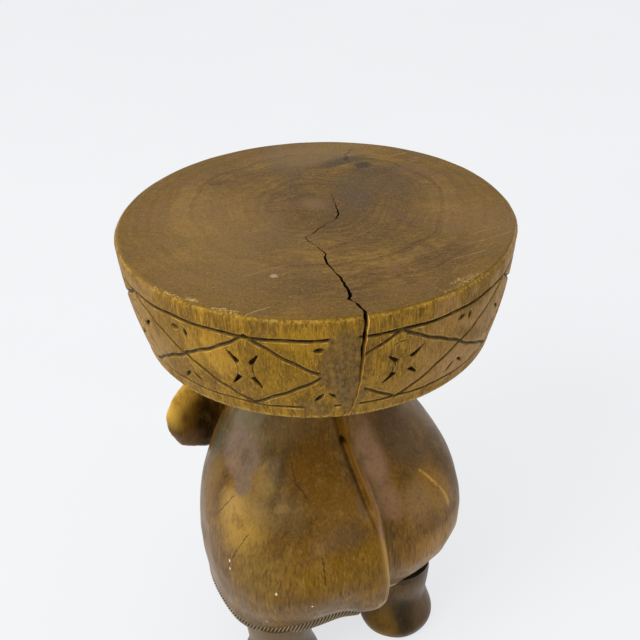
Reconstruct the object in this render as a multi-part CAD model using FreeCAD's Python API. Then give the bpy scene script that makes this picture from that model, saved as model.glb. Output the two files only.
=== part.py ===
import FreeCAD, Part
import math
import os

# Carved elephant stool, in millimetres, +Z up.
# The origin is on the floor under the seat's axis. The elephant faces -Y and its left side is +X.

# Overall sizes
seat_diameter = 305.0
stool_height = 420.0

# Seat: a thick disc whose rim tapers in towards the underside
seat_thickness = 90.0
seat_underside_diameter = 276.0
rim_swell = 2.7
seat_top_chamfer = 3.0
seat_bottom_chamfer = 2.0

# Rim carving: V-shaped cuts, an upper and a lower ring with strokes between them that cross half
# way and make a row of diamonds
diamond_count = 9
diamond_turn = math.radians(4.6)
upper_ring_drop = 16.7
lower_ring_rise = 12.1
carving_width = 4.0
carving_depth = 1.8
stroke_crossing = 1.0

# Drying check: an open radial split from the pith to the rim, through the whole thickness
check_width_at_rim = 4.0
check_width_at_pith = 0.8
CHECK_PATH_SHARES = (
    (-0.134, -0.041),
    (-0.104, 0.058),
    (0.043, 0.144),
    (0.160, 0.215),
    (0.142, 0.393),
    (0.190, 0.550),
    (0.217, 0.757),
    (0.240, 0.873),
    (0.262, 1.060),
)

# Body: rump, haunches and shoulders, with a neck that narrows under the seat
belly_height = 72.0
haunch_half_width = 119.0
rump_reach = 116.0
chest_reach = 86.0
hem_inset = 4.0
lean = 10.0
# Each row: height above the belly, half width, reach to the rear, reach to the front, lean to the
# left, then the power of the outline's rear half, where 2 is an ellipse and more is squarer
BODY_SECTION_SHARES = (
    (0.031, 0.885, 0.800, 0.860, 1.25, 4.0),
    (0.100, 0.925, 0.885, 0.930, 1.00, 3.2),
    (0.220, 0.980, 0.985, 0.985, 0.55, 3.0),
    (0.330, 0.980, 0.975, 1.000, 0.20, 2.7),
    (0.430, 0.925, 0.880, 1.000, 0.00, 2.5),
    (0.520, 0.835, 0.690, 1.000, 0.00, 2.3),
    (0.610, 0.715, 0.470, 0.985, 0.00, 2.2),
    (0.710, 0.615, 0.350, 0.970, 0.00, 2.2),
    (0.850, 0.570, 0.310, 0.950, 0.00, 2.2),
    (1.000, 0.600, 0.370, 0.950, 0.00, 2.2),
)

# Legs: four short round legs that stand on splayed feet
leg_top_radius = 31.0
leg_waist_radius = 29.5
foot_radius = 35.0
sole_radius = 33.0
foot_height = 9.0
rear_leg_setback = 60.0
front_leg_setback = 54.0
rear_leg_inset = 58.0
front_leg_inset = 79.0
stance_lean = 15.0
leg_tenon_radius = 16.0
leg_tenon_length = 26.0

# Head: one carving with the trunk, housed in the chest
head_half_width = 58.0
head_reach = 147.0
head_clearance = 12.0
head_housing_depth = 24.0
# Each row: height, half width, reach of the front, reach of the back, power of the outline
HEAD_SECTION_SHARES = (
    (0.000, 0.34, 0.985, 0.720, 2.2),
    (0.120, 0.31, 0.980, 0.740, 2.2),
    (0.400, 0.40, 1.000, 0.690, 2.2),
    (0.560, 0.60, 0.985, 0.540, 2.3),
    (0.680, 0.87, 0.940, 0.400, 2.4),
    (0.800, 1.00, 0.910, 0.370, 2.4),
    (0.910, 0.90, 0.870, 0.370, 2.4),
    (0.975, 0.62, 0.780, 0.400, 2.2),
    (1.000, 0.30, 0.680, 0.440, 2.0),
)

# Ears: flaps that stand out from the head behind the cheeks
ear_span = 119.0
ear_tongue_depth = 18.0
ear_root_setback = 53.0
ear_sweep = 14.0
ear_height = 144.0
ear_drop = 18.0
ear_thickness = 17.0
# Each row: way out along the span, then bottom and top within the ear's height, then thickness
EAR_SECTION_SHARES = (
    (0.00, 0.15, 0.98, 0.80),
    (0.22, 0.05, 0.96, 1.00),
    (0.48, 0.00, 0.76, 1.00),
    (0.70, 0.05, 0.59, 0.95),
    (0.88, 0.12, 0.52, 0.75),
    (1.00, 0.27, 0.40, 0.30),
)

# Tusks: short curved tusks in sockets beside the trunk
tusk_root_radius = 8.0
tusk_tip_radius = 2.0
tusk_offset = 27.0
tusk_setback = 29.0
tusk_root_drop = 114.0
tusk_length = 62.0
tusk_splay = 11.0
tusk_swing = 25.0
tusk_peg_radius = 6.0
tusk_peg_length = 16.0
tusk_bend = math.radians(60.0)
TUSK_SECTIONS = 6

# Eyes: round beads let into the cheeks
eye_radius = 5.5
eye_length = 12.0
eye_bevel = 2.0
eye_turn = 50.0
eye_inset = 22.0
eye_setback = 35.0
eye_drop = 56.0

# Tail: a ridge between the haunches, let into the rump, that ends in a round tip at the hem
tail_half_width = 12.0
tail_half_depth = 12.0
tail_stand = 5.5
# Each row: height above the belly, reach of the crest, swing to the left, half width, half depth
TAIL_SECTION_SHARES = (
    (0.930, 0.330, -0.15, 0.80, 1.00),
    (0.720, 0.360, -0.15, 0.75, 1.00),
    (0.610, 0.450, -0.15, 0.70, 1.00),
    (0.545, 0.625, -0.15, 0.65, 1.00),
    (0.480, 0.800, -0.05, 0.65, 1.00),
    (0.360, 0.950, 0.20, 0.70, 1.00),
    (0.220, 1.000, 0.55, 0.80, 1.05),
    (0.110, 0.965, 0.75, 0.85, 1.05),
    (0.055, 0.920, 0.75, 0.72, 0.85),
    (0.025, 0.885, 0.75, 0.35, 0.45),
)

# Dowels
seat_dowel_radius = 8.0
seat_dowel_length = 50.0
seat_dowel_ring_radius = 30.0
seat_dowel_count = 3
seat_dowel_centre_reach = 26.0
head_dowel_radius = 6.0
head_dowel_length = 44.0
head_dowel_spacing = 60.0
head_dowel_drop = 82.0
dowel_end_clearance = 1.0

# Carved skins: the points round each outline, and the rows worked out for each row of shares
STEPS_PER_STROKE = 4
SEAT_SIDES = 2 * STEPS_PER_STROKE * diamond_count
BODY_SIDES = 40
HEAD_SIDES = 32
LEG_SIDES = 28
EAR_SIDES = 16
TAIL_SIDES = 16
TUSK_SIDES = 12
EYE_SIDES = 16
STEPS_PER_ROW = 2
RIM_BANDS = 3
ellipse_power = 2.0

overrun = 5.0

seat_radius = seat_diameter / 2.0
seat_underside_radius = seat_underside_diameter / 2.0
seat_underside = stool_height - seat_thickness
rim_low = seat_underside + seat_bottom_chamfer
rim_high = stool_height - seat_top_chamfer
body_height = seat_underside - belly_height
tail_reach = rump_reach + tail_stand
head_height = seat_underside - head_clearance
head_back = chest_reach - head_housing_depth


def vector(x, y, z):
    return FreeCAD.Vector(x, y, z)


def flat_face(corners):
    return Part.Face(Part.makePolygon(corners + corners[:1]))


def skinned(rings):
    """A solid with flat facets from ring to ring and a flat end on the first and the last ring."""
    faces = [flat_face(rings[0]), flat_face(rings[-1])]
    for ring, following in zip(rings, rings[1:]):
        faces += facets_between(ring, following)
    return solid_inside(faces)


def skinned_loop(rings):
    """A solid with flat facets from ring to ring, and from the last ring on to the first."""
    faces = []
    for i, ring in enumerate(rings):
        faces += facets_between(rings[i - 1], ring)
    return solid_inside(faces)


def facets_between(ring, following):
    faces = []
    for i, corner in enumerate(ring):
        faces.append(flat_face([corner, ring[i - 1], following[i - 1]]))
        faces.append(flat_face([corner, following[i - 1], following[i]]))
    return faces


def solid_inside(faces):
    solid = Part.makeSolid(Part.makeShell(faces))
    if solid.Volume < 0.0:
        solid.reverse()
    return solid


def turns(count, start=0.0):
    """The sine and cosine of each of a number of equal steps round a circle."""
    angles = [start + 2.0 * math.pi * step / count for step in range(count)]
    return [(math.sin(angle), math.cos(angle)) for angle in angles]


def level_circle(centre, radius, sides, start=0.0):
    return [
        centre + vector(radius * sine, radius * cosine, 0) for sine, cosine in turns(sides, start)
    ]


def super_radius(across, along, half_width, reach, power):
    """Distance from the centre to an outline that turns from an ellipse to a square as power rises."""
    total = abs(across / half_width) ** power + abs(along / reach) ** power
    return total ** (-1.0 / power)


def plan_outline(centre, half_width, rear, front, rear_power, front_power, sides):
    """A level outline round a centre, with its own reach and power to the rear and to the front."""
    points = []
    for across, along in turns(sides):
        reach, power = (rear, rear_power) if along > 0.0 else (front, front_power)
        radius = super_radius(across, along, half_width, reach, power)
        points.append(centre + vector(radius * across, radius * along, 0))
    return points


def smooth_rows(rows):
    """The rows with more rows between them, on a curve that passes through every given row."""
    last = len(rows) - 1
    more = []
    for i in range(last):
        spans = [rows[max(i - 1, 0)], rows[i], rows[i + 1], rows[min(i + 2, last)]]
        for step in range(STEPS_PER_ROW):
            way = step / STEPS_PER_ROW
            more.append(tuple(curve_through(*values, way) for values in zip(*spans)))
    return more + [tuple(rows[last])]


def curve_through(before, start, end, after, way):
    """A cubic from start to end whose slopes there come from the neighbouring values."""
    slope_in = (end - before) / 2.0
    slope_out = (after - start) / 2.0
    square, cube = way ** 2, way ** 3
    return (
        (2 * cube - 3 * square + 1) * start
        + (cube - 2 * square + way) * slope_in
        + (3 * square - 2 * cube) * end
        + (cube - square) * slope_out
    )


def mirrored(shape):
    """The same piece on the elephant's other side."""
    return shape.mirror(vector(0, 0, 0), vector(1, 0, 0))


def rim_radius(height):
    """The radius of the rim between its chamfers: a taper with a slight swell."""
    way = (height - rim_low) / (rim_high - rim_low)
    taper = seat_underside_radius + (seat_radius - seat_underside_radius) * way
    return taper + rim_swell * math.sin(math.pi * way)


def seat_blank():
    """The disc: chamfered underside, tapered rim, chamfered top. Its facets start at a diamond."""
    bands = [rim_low + (rim_high - rim_low) * band / RIM_BANDS for band in range(RIM_BANDS + 1)]
    profile = [(seat_underside, seat_underside_radius - seat_bottom_chamfer)]
    profile += [(height, rim_radius(height)) for height in bands]
    profile.append((stool_height, seat_radius - seat_top_chamfer))
    rings = [level_circle(vector(0, 0, z), radius, SEAT_SIDES, diamond_turn) for z, radius in profile]
    return skinned(rings).removeSplitter()


def rim_cut(heights, half_width):
    """A V-shaped cut that runs all round the rim, with a height for each edge of its facets."""
    half_opening = half_width * (carving_depth + overrun) / carving_depth
    rings = []
    for (sine, cosine), height in zip(turns(SEAT_SIDES, diamond_turn), heights):
        bottom = rim_radius(height) - carving_depth
        outside = rim_radius(height) + overrun
        rings.append([
            vector(bottom * sine, bottom * cosine, height),
            vector(outside * sine, outside * cosine, height - half_opening),
            vector(outside * sine, outside * cosine, height + half_opening),
        ])
    return skinned_loop(rings).removeSplitter()


def rim_carving():
    """The two rings, and between them the strokes that rise and fall from diamond to diamond."""
    upper = stool_height - upper_ring_drop
    lower = seat_underside + lower_ring_rise
    middle = (upper + lower) / 2.0
    half_width = carving_width / 2.0
    run = math.pi * seat_radius / diamond_count
    cuts = [rim_cut([ring] * SEAT_SIDES, half_width) for ring in (upper, lower)]
    for tip, node in ((upper, middle - stroke_crossing), (lower, middle + stroke_crossing)):
        steepness = math.hypot(1.0, (tip - node) / run)
        heights = []
        for step in range(SEAT_SIDES):
            way = abs(step % (2 * STEPS_PER_STROKE) - STEPS_PER_STROKE) / STEPS_PER_STROKE
            heights.append(node + (tip - node) * way)
        cuts.append(rim_cut(heights, half_width * steepness))
    return cuts


def drying_check():
    """The split's plan outline, which widens from the pith to the rim, as a wall through the seat."""
    path = [(x * seat_radius, y * seat_radius) for x, y in CHECK_PATH_SHARES]
    last = len(path) - 1
    sides = ([], [])
    for i, (x, y) in enumerate(path):
        before = path[max(i - 1, 0)]
        after = path[min(i + 1, last)]
        run = math.hypot(after[0] - before[0], after[1] - before[1])
        normal = ((after[1] - before[1]) / run, (before[0] - after[0]) / run)
        width = check_width_at_pith + (check_width_at_rim - check_width_at_pith) * i / last
        for side, sign in zip(sides, (1.0, -1.0)):
            offset = sign * width / 2.0
            side.append(vector(x + normal[0] * offset, y + normal[1] * offset, seat_underside - overrun))
    outline = sides[0] + sides[1][::-1]
    return flat_face(outline).extrude(vector(0, 0, seat_thickness + overrun + overrun))


def seat_dowels(end_clearance=0.0):
    """Upright dowels, half in the seat and half in the body. The end clearance makes their holes."""
    length = seat_dowel_length + 2.0 * end_clearance
    centre = vector(0, -seat_dowel_centre_reach, seat_underside - length / 2.0)
    feet = level_circle(centre, seat_dowel_ring_radius, seat_dowel_count)
    return Part.makeCompound([Part.makeCylinder(seat_dowel_radius, length, foot) for foot in feet])


def head_dowels(end_clearance=0.0):
    """Two level dowels, half in the body and half in the head."""
    length = head_dowel_length + 2.0 * end_clearance
    dowels = []
    for side in (-0.5, 0.5):
        height = head_height - head_dowel_drop + side * head_dowel_spacing
        start = vector(0, -head_back + length / 2.0, height)
        dowels.append(Part.makeCylinder(head_dowel_radius, length, start, vector(0, -1, 0)))
    return Part.makeCompound(dowels)


def body_blank():
    """The swelling rump and shoulders, then the bevelled hem down to the flat belly."""
    rows = []
    for height, width, rear, front, sideways, power in smooth_rows(BODY_SECTION_SHARES):
        centre = vector(sideways * lean, 0, belly_height + height * body_height)
        size = (width * haunch_half_width, rear * rump_reach, front * chest_reach)
        rows.append((centre, size, power))
    hem_centre, hem_size, hem_power = rows[0]
    belly_centre = vector(hem_centre.x, hem_centre.y, belly_height)
    belly = (belly_centre, [reach - hem_inset for reach in hem_size], hem_power)
    rings = []
    for centre, size, power in [belly] + rows:
        rings.append(plan_outline(centre, *size, power, ellipse_power, BODY_SIDES))
    return skinned(rings)


def leg(x, y):
    """A round leg with a splayed foot and a tenon that fills its mortise in the belly."""
    profile = (
        (0.0, sole_radius),
        (foot_height, foot_radius),
        ((belly_height + foot_height) / 2.0, leg_waist_radius),
        (belly_height, leg_top_radius),
        (belly_height, leg_tenon_radius),
        (belly_height + leg_tenon_length, leg_tenon_radius),
    )
    return skinned([level_circle(vector(x, y, z), radius, LEG_SIDES) for z, radius in profile])


def head_blank():
    """Head and trunk through level outlines, flat at the back where it is housed in the chest."""
    rings = []
    for height, width, front, back, power in smooth_rows(HEAD_SECTION_SHARES):
        half_depth = (front - back) * head_reach / 2.0
        centre = vector(0, -(front + back) * head_reach / 2.0, height * head_height)
        size = (width * head_half_width, half_depth, half_depth)
        rings.append(plan_outline(centre, *size, power, power, HEAD_SIDES))
    spare = Part.makeBox(
        seat_diameter, seat_diameter, head_height + overrun, vector(-seat_radius, -head_back, 0)
    )
    return skinned(rings).cut(spare)


def ear():
    """The left ear: upright lens outlines, from its tongue in the head out to its tip."""
    root = head_half_width - ear_tongue_depth
    span = ear_span - root
    ear_bottom = head_height - ear_drop - ear_height
    rings = []
    for out, bottom, top, thickness in smooth_rows(EAR_SECTION_SHARES):
        centre = vector(
            root + out * span,
            ear_root_setback - head_reach + out * ear_sweep,
            ear_bottom + (top + bottom) * ear_height / 2.0,
        )
        half_height = (top - bottom) * ear_height / 2.0
        half_thickness = thickness * ear_thickness / 2.0
        rings.append([
            centre + vector(0, half_thickness * cosine, half_height * sine)
            for sine, cosine in turns(EAR_SIDES)
        ])
    return skinned(rings)


def tusk():
    """The left tusk: its peg, which fills its socket, then circles that shrink along a bend."""
    root = vector(tusk_offset, tusk_setback - head_reach, head_height - tusk_root_drop)
    rings = [
        level_circle(root + vector(0, 0, tusk_peg_length), tusk_peg_radius, TUSK_SIDES),
        level_circle(root, tusk_peg_radius, TUSK_SIDES),
    ]
    for i in range(TUSK_SECTIONS):
        way = i / (TUSK_SECTIONS - 1)
        swing = tusk_swing * math.sin(tusk_bend * way) / math.sin(tusk_bend)
        centre = root + vector(tusk_splay * way, -swing, -tusk_length * way)
        radius = tusk_root_radius + (tusk_tip_radius - tusk_root_radius) * way
        rings.append(level_circle(centre, radius, TUSK_SIDES))
    return skinned(rings)


def eye():
    """The left eye: a round plug with a bevelled face that looks out and forward."""
    profile = (
        (0.0, eye_radius),
        (eye_length - eye_bevel, eye_radius),
        (eye_length, eye_radius - eye_bevel),
    )
    bead = skinned([level_circle(vector(0, 0, z), radius, EYE_SIDES) for z, radius in profile])
    bead.rotate(vector(0, 0, 0), vector(1, 0, 0), 90)
    bead.rotate(vector(0, 0, 0), vector(0, 0, 1), eye_turn)
    bead.translate(vector(head_half_width - eye_inset, eye_setback - head_reach, head_height - eye_drop))
    return bead


def tail():
    """The tail: outlines square to its crest line, half sunk in the rump."""
    crest = []
    for height, reach, swing, width, depth in smooth_rows(TAIL_SECTION_SHARES):
        crest.append((reach * tail_reach, belly_height + height * body_height, swing * lean, width, depth))
    last = len(crest) - 1
    rings = []
    for i, (y, z, x, width, depth) in enumerate(crest):
        before = crest[max(i - 1, 0)]
        after = crest[min(i + 1, last)]
        run = math.hypot(after[0] - before[0], after[1] - before[1])
        outward = vector(0, -(after[1] - before[1]) / run, (after[0] - before[0]) / run)
        half_width = width * tail_half_width
        half_depth = depth * tail_half_depth
        centre = vector(x, y, z) - outward * half_depth
        rings.append([
            centre + vector(half_width * sine, 0, 0) + outward * (half_depth * cosine)
            for sine, cosine in turns(TAIL_SIDES)
        ])
    return skinned(rings)


def main():
    os.makedirs("parts", exist_ok=True)
    end = dowel_end_clearance
    rear_y = rump_reach - rear_leg_setback
    front_y = front_leg_setback - chest_reach
    rear_spread = haunch_half_width - rear_leg_inset
    front_spread = haunch_half_width - front_leg_inset
    legs = {
        "rear_left_leg": leg(stance_lean + rear_spread, rear_y),
        "rear_right_leg": leg(stance_lean - rear_spread, rear_y),
        "front_left_leg": leg(stance_lean + front_spread, front_y),
        "front_right_leg": leg(stance_lean - front_spread, front_y),
    }
    ears = {"left_ear": ear(), "right_ear": mirrored(ear())}
    tusks = {"left_tusk": tusk(), "right_tusk": mirrored(tusk())}
    eyes = {"left_eye": eye(), "right_eye": mirrored(eye())}
    tail_piece = tail()

    head = head_blank()
    body = body_blank().cut(head).cut(tail_piece)
    for piece in list(legs.values()) + list(ears.values()):
        body = body.cut(piece)
    body = body.cut(seat_dowels(end)).cut(head_dowels(end))
    for piece in list(ears.values()) + list(tusks.values()) + list(eyes.values()):
        head = head.cut(piece)
    head = head.cut(head_dowels(end))
    seat = seat_blank().cut(rim_carving()).cut(drying_check()).cut(seat_dowels(end))

    pieces = {
        "seat": seat,
        "seat_dowels": seat_dowels(),
        "body": body,
        "head": head,
        "head_dowels": head_dowels(),
        "tail": tail_piece,
    }
    for group in (legs, ears, tusks, eyes):
        pieces.update(group)
    for name, shape in pieces.items():
        print(name, len(shape.Solids), "solid", shape.isValid(), round(shape.Volume))
        shape.exportStep("parts/" + name + ".step")


main()
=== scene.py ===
import math

import bpy
import bmesh
import numpy as np
from mathutils import Matrix, Vector, noise
from mathutils.bvhtree import BVHTree


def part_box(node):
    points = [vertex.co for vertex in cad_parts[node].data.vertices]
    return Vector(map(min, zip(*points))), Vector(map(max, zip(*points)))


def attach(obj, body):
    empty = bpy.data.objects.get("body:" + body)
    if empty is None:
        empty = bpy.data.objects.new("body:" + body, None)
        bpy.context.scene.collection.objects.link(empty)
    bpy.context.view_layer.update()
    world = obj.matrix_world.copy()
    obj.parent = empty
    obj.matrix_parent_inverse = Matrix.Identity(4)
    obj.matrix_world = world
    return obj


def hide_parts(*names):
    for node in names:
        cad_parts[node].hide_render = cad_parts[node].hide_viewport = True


# Carved elephant stool. Meshes are worked out in millimetres in the part's own frame:
# +Z up, the elephant faces -Y, its tail is at +Y and its left side at +X.
# An azimuth is in degrees from the rear (+Y) towards the elephant's left (+X).
MM = 0.001
ROOT = "root"

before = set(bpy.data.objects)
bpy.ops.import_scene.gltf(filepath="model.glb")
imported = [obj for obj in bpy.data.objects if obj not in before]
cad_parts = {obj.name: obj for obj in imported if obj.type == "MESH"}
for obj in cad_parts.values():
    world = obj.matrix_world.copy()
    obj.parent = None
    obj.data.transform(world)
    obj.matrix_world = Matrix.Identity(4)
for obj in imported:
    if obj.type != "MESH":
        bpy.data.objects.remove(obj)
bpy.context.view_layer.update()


# Plain helpers

def node_box(node):
    """Lowest and highest corner of a CAD node in millimetres."""
    low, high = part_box(node)
    return np.array(low) / MM, np.array(high) / MM


def ease(low, high, value):
    way = np.clip((value - low) / (high - low), 0, 1)
    return way * way * (3 - 2 * way)


def bell(value, centre, spread):
    return np.exp(-0.5 * ((value - centre) / spread) ** 2)


def groove(distance, half_width):
    """1 in the middle of a cut, falling straight to 0 at its edges."""
    return np.clip(1 - np.abs(distance) / half_width, 0, 1)


def noise_at(points, scale, offset=0):
    """Smooth noise between about -1 and 1 at points in millimetres; scale is in blobs per millimetre."""
    flat = np.asarray(points).reshape(-1, 3) * scale + offset
    values = np.array([noise.noise(Vector(point)) for point in flat])
    return values.reshape(np.asarray(points).shape[:-1])


def blurred(values, rows, columns):
    """Gaussian blur by so many samples down the rows, and round the wrapping columns."""
    out = values
    for axis, spread, mode in ((0, rows, "edge"), (1, columns, "wrap")):
        if spread <= 0:
            continue
        reach = int(3 * spread) + 1
        weights = bell(np.arange(-reach, reach + 1), 0, spread)
        weights /= weights.sum()
        pad = [(0, 0), (0, 0)]
        pad[axis] = (reach, reach)
        padded = np.pad(out, pad, mode=mode)
        out = np.apply_along_axis(np.convolve, axis, padded, weights, "valid")
    return out


def tree_of(*nodes):
    """A search tree of the faces of some CAD nodes together."""
    vertices, faces = [], []
    for node in nodes:
        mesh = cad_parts[node].data
        start = len(vertices)
        vertices += [v.co / MM for v in mesh.vertices]
        faces += [[start + i for i in p.vertices] for p in mesh.polygons]
    return BVHTree.FromPolygons(vertices, faces)


def outer_reach(azimuths, heights, *nodes, centres=None, far=400):
    """How far the CAD surface lies from the axis or a centre line, for each height and azimuth."""
    tree = tree_of(*nodes)
    reach = np.zeros((len(heights), len(azimuths)))
    for j, z in enumerate(heights):
        x, y = (0, 0) if centres is None else centres[j]
        for i, (sine, cosine) in enumerate(zip(*turns(azimuths))):
            start = Vector((x + far * sine, y + far * cosine, z))
            distance = tree.ray_cast(start, Vector((-sine, -cosine, 0)), far)[3]
            if distance is not None:
                reach[j, i] = far - distance
    return reach


def turns(azimuths):
    """The sine and cosine of azimuths in degrees."""
    return np.sin(np.radians(azimuths)), np.cos(np.radians(azimuths))


def ring_points(azimuths, heights, reach, centres=None):
    """Points round the axis, or round a centre for each height."""
    sine, cosine = turns(azimuths)
    centres = np.zeros((len(heights), 2)) if centres is None else centres
    points = np.stack([reach * sine, reach * cosine, np.zeros_like(reach)], -1)
    points[..., :2] += centres[:, None, :]
    points[..., 2] = heights[:, None]
    return points


def dense_azimuths(coarse, fine, middle, spread):
    """Azimuths round a whole turn, closer together within a spread of a middle."""
    out, a = [], middle - 180
    while a < middle + 180 - fine / 2:
        out.append(a)
        near = 1 - ease(spread, spread * 1.4, abs(a + fine / 2 - middle))
        a += coarse + (fine - coarse) * float(near)
    return np.array(out)


def placed(name, data):
    """A new object in the scene."""
    piece = bpy.data.objects.new(name, data)
    bpy.context.scene.collection.objects.link(piece)
    return piece


def new_object(name, mesh, *materials):
    for material in materials:
        mesh.materials.append(material)
    return placed(name, mesh)


def grid_mesh(name, points, closed, sharp):
    """A closed mesh from rings of points in millimetres. The rings close at both ends, or on each other."""
    rows, columns = points.shape[:2]
    vertices = points.reshape(-1, 3)
    around = np.arange(columns)
    following = (around + 1) % columns
    faces = []
    for j in range(rows if closed else rows - 1):
        low, high = j * columns, ((j + 1) % rows) * columns
        faces += np.stack([low + around, low + following, high + following, high + around], 1).tolist()
    if not closed:
        vertices = np.vstack([vertices, points[0].mean(axis=0), points[-1].mean(axis=0)])
        first, last = rows * columns, rows * columns + 1
        top = (rows - 1) * columns
        faces += np.stack([following, around, np.full(columns, first)], 1).tolist()
        faces += np.stack([top + around, top + following, np.full(columns, last)], 1).tolist()
    mesh = bpy.data.meshes.new(name)
    mesh.from_pydata((vertices * MM).tolist(), [], faces)
    tidy_normals(mesh, sharp)
    return mesh


def carved(name, points, material, marks, sharp=60, closed=False):
    """A piece from rings of points, with its point attributes for the material."""
    mesh = grid_mesh(name, points, closed, sharp)
    set_attributes(mesh, **marks)
    return new_object(name, mesh, material)


def tidy_normals(mesh, sharp):
    work = bmesh.new()
    work.from_mesh(mesh)
    bmesh.ops.recalc_face_normals(work, faces=work.faces)
    work.to_mesh(mesh)
    work.free()
    mesh.polygons.foreach_set("use_smooth", np.ones(len(mesh.polygons), bool))
    mesh.set_sharp_from_angle(angle=math.radians(sharp))
    mesh.update()


def set_attributes(mesh, **values):
    """Point attributes for the materials. A grid mesh has two more points than its grid."""
    for name, numbers in values.items():
        data = np.zeros(len(mesh.vertices), np.float32)
        data[:numbers.size] = numbers.ravel()
        mesh.attributes.new(name, "FLOAT", "POINT").data.foreach_set("value", data)


def frozen(piece):
    """Gives the piece the mesh that its modifiers make."""
    bpy.context.view_layer.update()
    made = bpy.data.meshes.new_from_object(piece.evaluated_get(bpy.context.evaluated_depsgraph_get()))
    piece.modifiers.clear()
    old, piece.data = piece.data, made
    bpy.data.meshes.remove(old)
    return made


def vertex_array(mesh):
    co = np.empty(len(mesh.vertices) * 3, np.float32)
    mesh.vertices.foreach_get("co", co)
    return co.reshape(-1, 3).astype(float) / MM


# Material nodes

def srgb(red, green, blue, shade=1):
    """A colour given as screen values from 0 to 255, dimmed by a share."""
    out = []
    for value in (red / 255, green / 255, blue / 255):
        out.append(shade * (value / 12.92 if value <= 0.04045 else ((value + 0.055) / 1.055) ** 2.4))
    return (*out, 1)


WARM_GLOSS = (1, 0.74, 0.34, 1)
PLAIN_GLOSS = (1, 1, 1, 1)


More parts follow.
